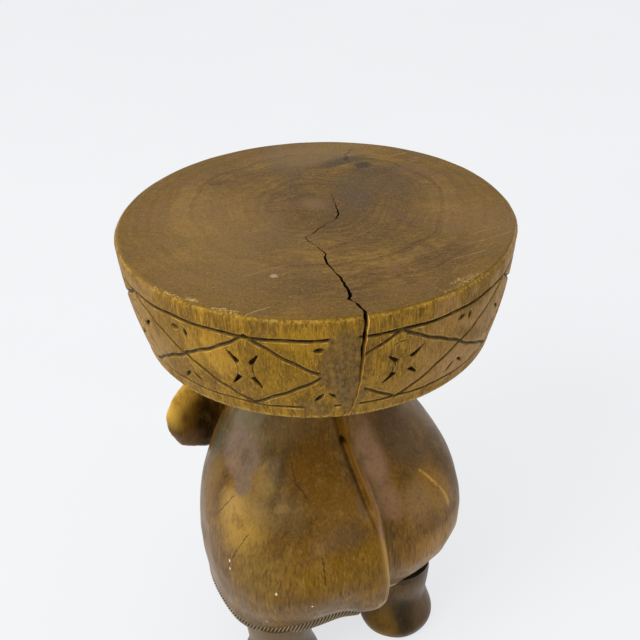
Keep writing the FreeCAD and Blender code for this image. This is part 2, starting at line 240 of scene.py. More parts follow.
class Shader:
    """Short calls for building a node material. Its colour is what has been painted so far."""

    def __init__(self, name):
        self.material = bpy.data.materials.new(name)
        self.material.use_nodes = True
        self.nodes = self.material.node_tree.nodes
        self.surface = self.nodes["Principled BSDF"]
        self.place = self.nodes.new("ShaderNodeTexCoord").outputs["Object"]
        self.colour = None

    def put(self, node, inputs):
        for name, value in inputs.items():
            if isinstance(value, bpy.types.NodeSocket):
                self.material.node_tree.links.new(value, node.inputs[name])
            else:
                node.inputs[name].default_value = value

    def add(self, kind, inputs, **settings):
        """A new node with its settings, and its inputs by name or number."""
        node = self.nodes.new("ShaderNode" + kind)
        for name, value in settings.items():
            setattr(node, name, value)
        self.put(node, inputs)
        return node

    def math(self, operation, *values):
        return self.add("Math", dict(enumerate(values)), operation=operation).outputs[0]

    def plus(self, first, second):
        return self.math("ADD", first, second)

    def minus(self, first, second):
        return self.math("SUBTRACT", first, second)

    def times(self, first, second):
        return self.math("MULTIPLY", first, second)

    def absolute(self, value):
        return self.math("ABSOLUTE", value)

    def vector(self, operation, *values):
        node = self.add("VectorMath", dict(enumerate(values)), operation=operation)
        return node.outputs["Value" if operation in ("LENGTH", "DOT_PRODUCT") else "Vector"]

    def turned(self, degrees, x_scale, y_scale):
        """The place turned about the vertical and scaled, for streaks in one direction."""
        sine, cosine = math.sin(math.radians(degrees)), math.cos(math.radians(degrees))
        x = self.vector("DOT_PRODUCT", self.place, (cosine * x_scale, -sine * x_scale, 0))
        y = self.vector("DOT_PRODUCT", self.place, (sine * y_scale, cosine * y_scale, 0))
        return self.add("CombineXYZ", {0: x, 1: y}).outputs[0]

    def noise(self, scale, detail=3, roughness=0.55, distortion=0):
        """Noise over a vector, or over the place stretched by three factors."""
        if not isinstance(scale, bpy.types.NodeSocket):
            scale = self.vector("MULTIPLY", self.place, scale)
        return self.add("TexNoise", {
            "Vector": scale, "Scale": 1, "Detail": detail, "Roughness": roughness, "Distortion": distortion,
        }).outputs["Fac"]

    def drift(self, amount):
        """A small uneven offset that keeps drawn lines from being straight."""
        scaled = self.vector("MULTIPLY", self.place, (90, 90, 60))
        warp = self.add("TexNoise", {"Vector": scaled, "Detail": 3}).outputs["Color"]
        return self.vector("MULTIPLY", self.vector("SUBTRACT", warp, (0.5, 0.5, 0.5)), amount)

    def between(self, value, low, high, out_low=0, out_high=1):
        """The value's way from low to high, eased and held at both ends."""
        inputs = {"Value": value, "From Min": low, "From Max": high, "To Min": out_low, "To Max": out_high}
        return self.add("MapRange", inputs, interpolation_type="SMOOTHSTEP").outputs["Result"]

    def mix(self, share, first, second):
        return self.add("Mix", {"Factor": share, 6: first, 7: second}, data_type="RGBA").outputs[2]

    def paint(self, share, *tint):
        """Lays a colour, given as screen values or as one socket, over what is there."""
        self.colour = self.mix(share, self.colour, tint[0] if len(tint) == 1 else srgb(*tint))

    def tint(self, value, low, high, amount, *tint):
        """Paints more and more from a low to a high value, up to an amount."""
        self.paint(self.between(value, low, high, 0, amount), *tint)

    def attribute(self, name):
        return self.add("Attribute", {}, attribute_name=name).outputs["Fac"]

    def height(self):
        return self.add("SeparateXYZ", {0: self.place}).outputs["Z"]

    def paint_ellipsoids(self, patches, wobble):
        """Paints ellipsoids given in millimetres, with an uneven soft edge: stains, tones, and patches of
        painted light and shade.
        """
        for centre, radii, tint, amount, soft in patches:
            offset = self.vector("SUBTRACT", self.place, tuple(c * MM for c in centre))
            size = self.vector("MULTIPLY", offset, tuple(1 / (r * MM) for r in radii))
            spot = self.between(self.plus(self.vector("LENGTH", size), wobble), 1 + soft, 1 - soft)
            self.paint(self.times(spot, amount), *tint)

    def draw(self, lines, amount, tint, drift, blur=0.35, outward=None):
        """Paints straight marks between two points in millimetres on a skin that faces outward."""
        for start, end, half_width in lines:
            facing = Vector(outward or (start[0] + end[0], start[1] + end[1], 0)).normalized()
            start, end = Vector(start) * MM, Vector(end) * MM
            run = end - start
            place = self.vector("ADD", self.vector("SUBTRACT", self.place, tuple(start)), drift)
            directions = (run.cross(facing).normalized(), run / run.length_squared, facing)
            across, way, height = [self.vector("DOT_PRODUCT", place, tuple(d)) for d in directions]
            inside = self.between(self.absolute(self.minus(way, 0.5)), 0.52, 0.4)
            near = self.between(self.absolute(height), 24 * MM, 18 * MM)
            mark = self.between(self.absolute(across), half_width * MM, half_width * MM * blur)
            self.paint(self.times(self.times(self.times(mark, inside), near), amount), *tint)

    def bump(self, height, strength, distance, **below):
        inputs = {"Strength": strength, "Distance": distance * MM, "Height": height, **below}
        return self.add("Bump", inputs).outputs["Normal"]

    def finish(self, roughness, specular, coat=0, coat_roughness=0.3, tint=WARM_GLOSS, **normal):
        self.put(self.surface, {
            "Base Color": self.colour, "Roughness": roughness, "Specular IOR Level": specular,
            "Specular Tint": tint, "Coat Weight": coat, "Coat Roughness": coat_roughness, **normal})
        return self.material

    def grain(self, tones, fibre, pores, shade=1):
        """Hardwood with upright grain: paints streaks and pores, and gives the fine relief."""
        light, middle, dark = [srgb(*tone, shade) for tone in tones]
        warp = self.noise((14, 14, 3), 2)
        streaks = self.noise((430, 430, 14), 4, 0.6, 0.3)
        clouds = self.noise((26, 26, 11), 3, distortion=0.8)
        dots = self.between(self.noise((1500, 1500, 75), 2, 0.7), 0.4, 0.26)
        tone = self.plus(self.times(clouds, 0.62), self.times(streaks, 0.38))
        tone = self.plus(tone, self.times(warp, 0.15))
        self.colour = self.mix(self.between(tone, 0.42, 0.6), dark, middle)
        self.tint(tone, 0.55, 0.74, 1, light)
        self.paint(self.times(self.between(streaks, 0.47, 0.3), fibre), dark)
        self.paint(self.times(dots, pores), 52, 36, 16)
        return self.minus(self.times(streaks, 0.7), self.times(dots, 0.6))


def rim_material():
    """Golden upright grain with dark pores, painted shade in the cuts and painted highlights on their
    shoulders, worn arris and a smear of filler.
    """
    wood = Shader("seat_rim_wood")
    streaks = wood.noise((680, 680, 70), 5, 0.75, 0.25)
    bands = wood.noise((150, 150, 18))
    clouds = wood.noise((34, 34, 26), 5, distortion=1)
    tone = wood.plus(wood.times(streaks, 0.66), wood.times(bands, 0.34))
    wood.colour = wood.mix(wood.between(tone, 0.4, 0.5), srgb(100, 70, 20), srgb(134, 98, 26))
    wood.tint(tone, 0.49, 0.6, 1, 170, 128, 36)
    # Patches of the wood's tone, with painted light and sheen among them
    wood.paint_ellipsoids(RIM_TONES_AND_LIGHT, wood.times(wood.minus(clouds, 0.5), 2.2))
    wood.tint(clouds, 0.53, 0.66, 0.5, 112, 82, 36)
    pores = wood.noise((1500, 1500, 190), 2, 0.7)
    wood.tint(streaks, 0.43, 0.33, 0.4, 70, 48, 14)
    wood.tint(pores, 0.42, 0.3, 0.6, 62, 44, 16)
    wood.tint(pores, 0.57, 0.7, 0.45, 206, 168, 84)
    filler = wood.attribute("filler")
    smear = wood.between(wood.noise((120, 120, 70), 5), 0.36, 0.56, 0.96, 0.6)
    lumps = wood.between(wood.noise((300, 300, 260), 4, 0.7), 0.35, 0.65)
    wood.paint(wood.times(filler, smear), wood.mix(lumps, srgb(74, 56, 32), srgb(122, 96, 60)))
    cavity = wood.attribute("cavity")
    # Uneven painted highlights on the shoulders of the cuts, and uneven painted shade inside them
    cut_shading_noise = wood.noise((210, 210, 210))
    shoulder_highlight = wood.times(wood.between(cavity, 0.01, 0.07), wood.between(cavity, 0.34, 0.12))
    shoulder_highlight = wood.times(shoulder_highlight, wood.between(cut_shading_noise, 0.44, 0.58, 0.1, 0.6))
    wood.paint(wood.times(shoulder_highlight, wood.between(filler, 0.25, 0.02)), 204, 166, 88)
    shallow = wood.between(cut_shading_noise, 0.3, 0.55, 0.55, 0.9)
    wood.paint(wood.times(wood.between(cavity, 0.14, 0.52), shallow), 86, 66, 34)
    deep = wood.between(cut_shading_noise, 0.34, 0.56, 0.6, 1)
    wood.paint(wood.times(wood.between(cavity, 0.5, 0.95), deep), 30, 22, 10)
    broken = wood.between(wood.noise((420, 420, 200), 4, 0.65), 0.44, 0.6, 0, 0.9)
    wood.paint(wood.times(wood.attribute("wear"), broken), 204, 168, 80)
    relief = wood.minus(streaks, wood.between(pores, 0.42, 0.3))
    return wood.finish(wood.between(clouds, 0.3, 0.7, 0.5, 0.66), 0.2, Normal=wood.bump(relief, 0.6, 0.45))


# Centre, radii, colour, amount and softness of each patch: partly the wood's own tone, partly painted light
# and painted sheen; the wood between them stays bare
RIM_TONES_AND_LIGHT = (
    ((88, 116, 378), (30, 30, 30), (124, 90, 4), 0.55, 0.5),
    ((62, 132, 404), (46, 30, 7), (170, 128, 26), 0.5, 0.45),
    ((122, 84, 382), (18, 22, 20), (188, 142, 44), 0.6, 0.5),
    ((24, 142, 350), (34, 20, 16), (150, 112, 34), 0.5, 0.45),
    ((-28, 142, 372), (34, 26, 40), (162, 120, 62), 0.6, 0.45),
    ((-80, 120, 372), (50, 40, 60), (170, 132, 86), 0.65, 0.45),
    ((140, 50, 380), (20, 24, 60), (132, 98, 36), 0.5, 0.45),
    ((148, 18, 380), (20, 30, 60), (160, 124, 70), 0.5, 0.45),
)

PITH = (-8, -14.5)
TOP_GRAIN_TURN = 25
RINGS_PER_METRE = (62, 230)
# Turn in degrees and shift of the two sets of fine scratches
SCRATCHES = ((35, 0), (-62, 3.7))


def top_material():
    """End grain: faint growth rings round the pith, blotches, scratches, a few stains, and some patches of
    painted light and sheen.
    """
    wood = Shader("seat_top_wood")
    flat = wood.vector("MULTIPLY", wood.place, (1, 1, 0))
    from_pith = wood.vector("SUBTRACT", flat, (PITH[0] * MM, PITH[1] * MM, 0))
    radius = wood.plus(wood.vector("LENGTH", from_pith), wood.times(wood.noise((16, 16, 0)), 0.03))
    clouds = wood.noise((17, 17, 1), 4, distortion=0.9)
    tone = wood.times(clouds, 0.6)
    for scale in RINGS_PER_METRE:
        rings = wood.add("TexNoise", {"W": radius, "Scale": scale, "Detail": 2}, noise_dimensions="1D")
        tone = wood.plus(tone, wood.times(rings.outputs["Fac"], 0.2))
    fibres = wood.noise(wood.turned(TOP_GRAIN_TURN, 90, 460), 5, 0.75, 0.5)
    tone = wood.plus(tone, wood.times(wood.minus(fibres, 0.5), 0.55))
    wood.colour = wood.mix(wood.between(tone, 0.38, 0.52), srgb(84, 60, 28), srgb(108, 80, 38))
    wood.tint(tone, 0.5, 0.66, 1, 140, 108, 54)
    hues = wood.noise(wood.turned(TOP_GRAIN_TURN, 13, 34), 4, distortion=0.6)
    wood.tint(hues, 0.47, 0.34, 0.4, 98, 80, 30)
    wood.tint(hues, 0.54, 0.66, 0.4, 124, 88, 62)
    edge = wood.plus(wood.vector("LENGTH", flat), wood.times(clouds, 0.02))
    wood.tint(edge, 0.112, 0.16, 0.5, 124, 94, 42)
    # Blotches and stains, with patches of painted light and sheen
    wood.paint_ellipsoids(TOP_TONES_AND_LIGHT, wood.times(wood.minus(clouds, 0.5), 1.6))
    speck = wood.noise((640, 640, 640), 5, 0.8)
    wood.tint(speck, 0.47, 0.34, 0.75, 60, 42, 22)
    wood.tint(speck, 0.54, 0.68, 0.55, 172, 140, 88)
    drift = wood.drift((0.012, 0.012, 0))
    wood.draw(TOP_CRACKS, 0.85, (40, 27, 14), drift, outward=(0, 0, 1))
    wood.draw(TOP_MARKS, wood.between(fibres, 0.42, 0.56, 0.2, 0.9), (206, 172, 104), drift, 0.1, (0, 0, 1))
    marks = []
    for angle, offset in SCRATCHES:
        place = wood.add("Mapping", {
            "Vector": wood.place, "Rotation": (0, 0, math.radians(angle)), "Location": (offset, 0, 0),
            "Scale": (16, 620, 1)})
        marks.append(wood.between(wood.noise(place.outputs["Vector"], 1), 0.7, 0.78))
    scratch = wood.times(wood.math("MAXIMUM", *marks), wood.between(wood.noise((30, 30, 30), 1), 0.52, 0.62))
    wood.paint(wood.times(scratch, wood.between(edge, 0.1, 0.15, 0.3, 0.8)), 190, 164, 112)
    # Painted shade in the cuts that reach the top's edge
    wood.tint(wood.attribute("cavity"), 0.15, 0.8, 0.9, 60, 42, 20)
    worn = wood.between(clouds, 0.4, 0.62, 0.25, 0.8)
    wood.paint(wood.times(wood.attribute("wear"), worn), 134, 102, 36)
    normal = wood.bump(wood.minus(speck, scratch), 0.25, 0.3)
    return wood.finish(wood.between(clouds, 0.35, 0.65, 0.46, 0.6), 0.14, Normal=normal)


# Centre, radii, colour, amount and softness of each patch: mostly the end grain's blotches and stains, with
# pale patches of painted light towards the left and painted sheen on the far side
TOP_TONES_AND_LIGHT = (
    ((-41, -11, 420), (9, 15, 30), (74, 68, 56), 0.75, 0.6),
    ((-8, -14.5, 420), (8, 9, 30), (150, 116, 76), 0.7, 0.6),
    ((-30, 2, 420), (50, 30, 30), (92, 66, 30), 0.45, 0.7),
    ((70, -40, 420), (40, 50, 30), (150, 116, 66), 0.45, 0.7),
    ((-100, 60, 420), (30, 50, 30), (138, 106, 62), 0.5, 0.7),
    ((-70, -110, 420), (60, 26, 30), (150, 122, 78), 0.4, 0.8),
    ((100, 20, 420), (34, 70, 30), (142, 112, 62), 0.4, 0.6),
    ((-78, -65, 420), (7, 6, 30), (58, 50, 42), 0.9, 0.45),
    ((-66, -80, 420), (24, 8, 30), (76, 64, 46), 0.8, 0.5),
    ((44, -92, 420), (9, 5, 30), (92, 66, 36), 0.8, 0.5),
    ((67.5, 72.5, 420), (2.2, 2.2, 30), (196, 178, 146), 0.8, 0.4),
    ((-55, -10, 420), (42, 26, 30), (98, 74, 48), 0.4, 0.45),
    ((60, 30, 420), (40, 60, 30), (130, 100, 58), 0.35, 0.45),
)

TOP_CRACKS = (
    ((-70, -80, 420), (-77, -93, 420), 1.5),
    ((-76, -91, 420), (-88, -103, 420), 1),
    ((-78, -90, 420), (-70, -90, 420), 0.8),
    ((-4, -3, 420), (29, -21.5, 420), 0.4),
    ((27, -20.5, 420), (47, -33, 420), 0.3),
)

# Fresh pale knocks near the edge
TOP_MARKS = (
    ((-20, 140, 420), (-21, 149, 420), 0.9),
    ((-24, 147, 420), (-58, 137, 420), 1.1),
    ((-30, 140, 420), (-52, 136, 420), 0.6),
    ((147, 40, 420), (132, 71, 420), 1.3),
    ((130, 68, 420), (124, 80, 420), 1.6),
    ((119, 90, 420), (106, 105, 420), 1.4),
)

# How the rim draws in below the seat's top, in metres, and how far into the check the light reaches; deeper
# in, its walls get painted shade
SEAT_TOP = 0.42
RIM_LEAN = 0.04
RIM_BULGE = 1.43
CHECK_LIGHT_REACH = (0.1502, 0.1462)


def crack_material():
    """The walls of the drying check: amber raw wood near the skin, where the light reaches, and painted shade
    further in.
    """
    wood = Shader("check_wall_wood")
    relief = wood.grain(((222, 178, 92), (196, 150, 68), (150, 106, 40)), 0.4, 0.4)
    flat = wood.vector("MULTIPLY", wood.place, (1, 1, 0))
    down = wood.minus(SEAT_TOP, wood.height())
    taper = wood.times(down, wood.math("MULTIPLY_ADD", down, RIM_BULGE, RIM_LEAN))
    # Painted shade deep in the check, where the light does not reach
    wood.paint(wood.between(wood.plus(wood.vector("LENGTH", flat), taper), *CHECK_LIGHT_REACH), 26, 17, 8)
    return wood.finish(0.75, 0.2, Normal=wood.bump(relief, 0.5, 0.5))


# Centre, radii, colour, amount and softness of each patch: mostly the wood's golden, reddish and greyish
# tones, with painted shade under the seat's rim, a painted highlight on the left haunch, painted sheen on the
# greyish wedge and the right haunch, and a painted highlight at the tail's tip
BODY_TONES_AND_LIGHT = (
    ((72, 6, 256), (40, 44, 20), (106, 94, 70), 0.9, 0.45),
    ((94, -26, 234), (16, 22, 26), (70, 64, 44), 0.9, 0.35),
    ((48, 34, 252), (22, 16, 14), (108, 78, 38), 0.7, 0.45),
    ((106, -6, 188), (14, 14, 36), (120, 88, 30), 0.85, 0.5),
    ((101, 48, 180), (20, 24, 26), (172, 134, 58), 0.85, 0.55),
    ((101, 34, 192), (11, 14, 13), (176, 140, 76), 0.7, 0.6),
    ((83, 14, 226), (14, 22, 22), (118, 98, 82), 0.95, 0.35),
    ((90, 32, 212), (9, 10, 14), (118, 98, 80), 0.95, 0.35),
    ((89, 13, 220), (6, 9, 16), (136, 104, 78), 0.4, 0.6),
    ((78, 45, 213), (9, 11, 11), (130, 100, 36), 0.7, 0.6),
    ((90, 54, 196), (10, 14, 14), (134, 108, 60), 0.5, 0.6),
    ((64, 42, 226), (8, 13, 17), (66, 48, 26), 0.75, 0.5),
    ((64, 74, 198), (10, 14, 16), (104, 80, 44), 0.65, 0.5),
    ((36, 60, 222), (20, 22, 26), (104, 68, 10), 0.85, 0.4),
    ((30, 80, 202), (24, 16, 12), (112, 78, 24), 0.7, 0.45),
    ((34, 102, 179), (18, 14, 12), (106, 80, 50), 0.7, 0.7),
    ((10, 92, 194), (5, 8, 12), (118, 92, 62), 0.6, 0.5),
    ((50, 108, 152), (34, 20, 22), (122, 86, 6), 0.95, 0.5),
    ((16, 114, 152), (13, 12, 22), (122, 86, 8), 0.9, 0.5),
    ((98, 78, 150), (22, 24, 22), (134, 104, 44), 0.6, 0.45),
    ((101, 79, 100), (44, 44, 14), (122, 92, 44), 0.65, 0.5),
    ((62, 106, 116), (36, 20, 10), (116, 86, 34), 0.6, 0.5),
    ((-15, 62, 222), (13, 26, 32), (154, 118, 88), 0.9, 0.4),
    ((-16, 92, 190), (10, 16, 16), (142, 106, 76), 0.85, 0.45),
    ((-58, 57, 218), (26, 26, 22), (112, 88, 62), 0.75, 0.5),
    ((-38, 52, 232), (16, 20, 18), (92, 68, 48), 0.6, 0.5),
    ((-62, 90, 182), (20, 20, 24), (156, 114, 52), 0.75, 0.5),
    ((-38, 104, 172), (14, 10, 18), (124, 88, 44), 0.6, 0.5),
    ((-80, 84, 128), (16, 22, 24), (178, 144, 98), 0.65, 0.6),
    ((-40, 98, 186), (14, 12, 22), (148, 114, 74), 0.7, 0.6),
    ((2, 116, 98), (6, 10, 8), (204, 168, 116), 0.7, 0.7),
    ((-54, 109, 135), (26, 18, 20), (170, 124, 60), 0.75, 0.5),
    ((-22, 111, 122), (14, 10, 12), (150, 122, 88), 0.6, 0.5),
)

# Start, end and half width of each hair crack
HAIR_CRACKS = (
    ((113, 20, 172), (98, 32, 200), 0.7),
    ((98, 60, 181), (114, 52, 150), 0.7),
    ((54, 104, 172), (54, 110, 144), 0.8),
    ((86, 94, 153), (91, 94, 138), 0.6),
    ((53, 47, 229), (55, 61, 214), 0.6),
    ((55, 60, 216), (48, 73, 205), 0.6),
)

# Start, end and half width of the painted highlight streaks on the right haunch
HIGHLIGHT_STREAKS = (
    ((-52, 78, 201), (-66, 88, 184), 2.2),
    ((-56, 80, 196), (-62, 84, 184), 1.4),
    ((-67, 88, 184), (-73, 95, 163), 2.6),
    ((-58, 84, 198), (-67, 90, 183), 1.2),
    ((-70, 91, 178), (-75, 94, 166), 1.6),
)

# Middle and size of the specks where the wax has chipped off
CHIPS = (
    ((115, 51, 149), 1.1), ((116, 53, 142), 0.9), ((92, 94, 139), 1),
    ((66, 107, 124), 0.9), ((98, 82, 94), 1.4), ((25, 114, 150), 0.7), ((-24, 111, 119), 0.8),
)


def body_material(name, patches=(), cracks=(), marks=(), chips=(), shade=1, grain=1):
    """Stained and waxed hardwood with clouds of golden, reddish and greyish brown, and painted shade,
    highlights and sheen.
    """
    wood = Shader(name)
    relief = wood.grain(((136, 98, 38), (106, 74, 26), (72, 50, 20)), 0.18, 0.22, shade)
    clouds = wood.noise((22, 22, 16), 5, distortion=0.7)
    wood.tint(clouds, 0.54, 0.66, 0.45, 108, 76, 50, shade)
    veil = wood.noise((64, 64, 34), 6, 0.65, 0.3)
    wobble = wood.math("MULTIPLY_ADD", wood.minus(veil, 0.5), 0.9, wood.minus(clouds, 0.5))
    # Patches of tone, with painted shade, highlights and sheen among them
    wood.paint_ellipsoids(patches, wobble)
    wood.tint(veil, 0.48, 0.34, 0.45, 74, 54, 26, shade)
    wood.tint(veil, 0.53, 0.68, 0.32, 158, 122, 66, shade)
    mottle = wood.noise((520, 520, 70), 5, 0.7)
    rough_below = wood.between(wood.height(), 0.19, 0.15, 0.5 * grain, grain)
    wood.paint(wood.times(wood.between(mottle, 0.49, 0.35, 0, 0.6), rough_below), 62, 42, 12)
    wood.paint(wood.times(wood.between(mottle, 0.54, 0.68, 0, 0.4), rough_below), 184, 142, 64)
    drift = wood.drift((0.004, 0.004, 0.003))
    wood.draw(cracks, 0.7, (44, 30, 12), drift)
    # Painted highlight streaks
    wood.draw(marks, 0.65, (204, 154, 62), drift, 0)
    wood.paint(wood.times(wood.attribute("amber"), 0.82), 126, 82, 8)
    # Painted shade in recesses: the hole under the tail, the trunk's rings, the eye lids, the mouth, the
    # nails' cuts and the ear's fold
    wood.tint(wood.attribute("cavity"), 0.12, 0.8, 0.92, 38, 26, 12)
    # Painted highlight along the tail's crest: golden low down, pinkish higher up
    crest = wood.mix(wood.between(wood.height(), 0.164, 0.18), srgb(200, 156, 78), srgb(160, 122, 98))
    wood.paint(wood.times(wood.attribute("wear"), 0.75), crest)
    wood.paint_ellipsoids([(centre, (size, size, 1.5 * size), (232, 212, 164), 1, 0.4) for centre, size in chips], 0)
    normal = wood.bump(clouds, 0.2, 2, Normal=wood.bump(relief, 0.12, 0.4))
    return wood.finish(wood.between(clouds, 0.35, 0.65, 0.34, 0.46), 0.22, 0.05, Normal=normal)


# Centre, radii, colour, amount and softness of each patch: the ears' own tones, with painted shade over the
# lower part towards the head
EAR_TONES_AND_SHADE = (
    ((108, -78, 224), (14, 20, 24), (232, 184, 76), 0.95, 0.45),
    ((98, -78, 234), (18, 20, 14), (206, 158, 60), 0.9, 0.45),
    ((95, -78, 208), (13, 20, 14), (114, 80, 10), 0.75, 0.5),
    ((101, -78, 206), (4, 20, 5), (50, 33, 8), 0.5, 0.8),
    ((82, -80, 192), (12, 20, 26), (34, 24, 8), 0.9, 0.45),
    ((104, -78, 180), (16, 20, 12), (118, 90, 58), 0.7, 0.5),
    ((-110, -78, 224), (14, 20, 26), (168, 130, 56), 0.6, 0.45),
    ((-88, -80, 190), (14, 20, 24), (66, 46, 16), 0.6, 0.45),
)

# Centre, radii, colour, amount and softness of each patch: the legs' own tones, with a painted shadow round
# the leg's top under the hem and a painted sheen band below it
LEG_TONES_AND_LIGHT = (
    ((-20, 74, 20), (14, 20, 22), (120, 86, 28), 0.9, 0.5),
    ((-38, 88, 32), (11, 18, 26), (30, 22, 12), 0.9, 0.55),
    ((-56, 88, 20), (9, 18, 18), (86, 60, 38), 0.8, 0.55),
    ((-44, 88, 56), (16, 16, 9), (104, 88, 66), 0.75, 0.5),
    ((-44, 88, 76), (40, 40, 5), (44, 36, 28), 0.9, 0.4),
    ((86, 66, 66), (30, 30, 18), (124, 104, 80), 0.7, 0.5),
)


def plain_wood_material(name, tones, rough=0.5, coat=0.1):
    wood = Shader(name)
    relief = wood.grain(tones, 0.35, 0.3)
    # Painted shade in the gouges of the rope hem
    wood.tint(wood.attribute("cavity"), 0.1, 0.45, 0.92, 42, 36, 30)
    return wood.finish(rough, 0.45, coat, Normal=wood.bump(relief, 0.2, 0.4))


# Seat: the disc, its lattice carving and the drying check

SEAT_COLUMN_FINE = 0.3
SEAT_COLUMN_COARSE = 0.75
RIM_STEP = 0.95
DIAMONDS = 9
FIRST_DIAMOND_AZIMUTH = 4.6
RIM_MEAN_RADIUS = 146
RIM_INSIDE_RADIUS = 134
UPPER_RING_SHARE = 0.185
LOWER_RING_SHARE = 0.865
CARVE_DEPTH = 1.8
LINE_HALF_WIDTH = 2.1
STAR_TIP = (10.9, 15.2)
STAR_WAIST = (5.4, 6.8)
STAR_HORN = 2.3
STAR_DEPTH = 3

# Place and half width of the drying check along its path over the top, from the pith to the rim
CHECK_PATH = (
    (-27, -25, 0.2), (-23, -14, 0.25), (-20.3, -4.2, 0.4), (-16.4, 7, 0.6), (-10.3, 15.5, 0.55),
    (-5, 18, 0.14), (1, 20.6, 0.14), (7.4, 22.8, 0.5), (17, 29, 0.35), (20, 30.4, 0.14), (24, 32, 0.26),
    (24, 39, 0.4), (23.4, 45, 0.22), (22.6, 54, 0.3), (22, 60, 0.55), (27, 69.5, 0.78),
    (29, 84, 0.72), (29.2, 87.5, 0.28), (29.4, 91, 0.75), (30, 101, 0.95), (33, 115.5, 1.15),
    (37.5, 124, 1.1), (37, 127, 0.32), (36.4, 129.6, 0.34), (35.6, 133, 1.25), (36, 138, 0.7),
    (37, 146, 1.45), (39.5, 160, 1.45),
)
# The azimuth at which the check cuts the rim, by height
CHECK_HEIGHTS = (320, 332, 342, 355, 381, 406, 417, 430)
CHECK_AZIMUTHS = (18.2, 17.3, 16, 15.4, 14.8, 14.3, 14, 13.8)
CHECK_LEVELS = 30
# The check turns with the height up to here, and stands as the path has it above
CHECK_UPRIGHT_ABOVE = 412
CHECK_PATH_HEIGHT = 417
# Places of the top's and the check's wood among the seat's materials
TOP_MATERIAL = 1
CHECK_MATERIAL = 2


# Place across, which end, inset from it, size and tilt of the leaf-shaped cuts between the diamonds
LEAF_CUTS = (
    (3.5, -1, 8, (4.6, 2.8), 0.15), (-5.5, -1, 10, (2.2, 5.6), 0.1),
    (4.5, 1, 9.5, (7.2, 2.2), 0.85), (-6, 1, 11, (6.4, 2), -0.7),
)


def bowed(across, along, tip_across, tip_along, waist):
    """How far a point lies inside a pair of arcs that bow towards each other, from tip to tip."""
    rise = tip_across - waist
    radius = (tip_along ** 2 + rise ** 2) / (2 * rise)
    return np.hypot(np.abs(across) - waist - radius, along) - radius


def star_depth(across, along, number):
    """Depth of a four-horned star: deep horns, and faint sides that bow inwards between them."""
    even = 0.5 + 0.5 * np.cos(number * math.pi)
    across = across + 2.4 - 4.8 * (1 - even)
    along = along + 1.6 * (1 - even)
    skew = 1 - 0.1 * even * np.sign(across * along)
    x = across * skew / (1 + 0.18 * even)
    y = along * skew / (1 - 0.2 * even)
    beside, level = bowed(x, y, *STAR_TIP, STAR_WAIST[0]), bowed(y, x, *STAR_TIP[::-1], STAR_WAIST[1])
    reach = np.hypot(x, y)
    tip, root = math.hypot(*STAR_TIP), math.hypot(*STAR_WAIST) * 0.95
    turn = np.arctan2(np.abs(y), np.abs(x)) - math.atan2(STAR_TIP[1], STAR_TIP[0])
    way = np.clip((reach - root) / (tip - root), 0, 1)
    width = STAR_HORN * (1 - way) ** 0.7 * ease(root - 1.6, root + 0.6, reach)
    horn = np.clip(1 - np.abs(reach * np.sin(turn)) / np.maximum(width, 0.05), 0, 1)
    horn = horn * (reach < tip) * (reach > root - 1.6)
    depth = STAR_DEPTH * np.minimum(horn * 1.8, 1)
    sides = 0.7 + 0.3 * np.sin(number * 2 + np.sign(x))
    ends = np.where(y < 0, even, 0)
    faint = np.maximum(sides * groove(beside, 0.9) * (np.abs(y) < STAR_TIP[1] - 3),
                       ends * groove(level, 0.9) * (np.abs(x) < STAR_TIP[0] - 3))
    return np.maximum(depth, 1.3 * faint)


def rim_pattern(azimuth, down, height):
    """Depth of the carving at azimuths, and at millimetres down the rim of the given height."""
    upper, lower = UPPER_RING_SHARE * height, LOWER_RING_SHARE * height
    middle, half_height = (upper + lower) / 2, (lower - upper) / 2
    pitch = 360 / DIAMONDS
    mm_per_degree = math.radians(RIM_MEAN_RADIUS)
    half_width = pitch / 2 * mm_per_degree
    number = np.floor((azimuth - FIRST_DIAMOND_AZIMUTH) / pitch + 0.5)
    across = ((azimuth - FIRST_DIAMOND_AZIMUTH) - number * pitch) * mm_per_degree
    number = number % DIAMONDS
    sway = 1.1 * np.sin(across * 0.11 + number * 2.4) + 0.5 * np.sin(across * 0.37 + number)
    along = down - middle + sway * 0.7
    steep = math.hypot(1 / half_width, 1 / half_height)
    lattice = (np.abs(across) / half_width + np.abs(along) / half_height - 1) / steep
    depth = CARVE_DEPTH * groove(lattice, LINE_HALF_WIDTH)
    ring_sway = 0.6 * np.sin(np.radians(azimuth) * 7) + 0.35 * np.sin(np.radians(azimuth) * 23)
    depth = np.maximum(depth, 1.25 * CARVE_DEPTH * groove(down - upper + ring_sway, 1.9))
    depth = np.maximum(depth, 0.95 * CARVE_DEPTH * groove(down - lower + ring_sway, 1.5))
    depth = np.maximum(depth, star_depth(across, down - middle, number))
    shifted = across - np.sign(across) * half_width
    for place, side, inset, size, tilt in LEAF_CUTS:
        x, y = shifted - place, down - middle - side * (half_height - inset)
        out, off = x * math.cos(tilt) + y * math.sin(tilt), -x * math.sin(tilt) + y * math.cos(tilt)
        leaf = np.clip(1 - (out / size[0]) ** 2 - np.abs(off / size[1]), 0, 1)
        depth = np.maximum(depth, 2.5 * leaf)
    return depth


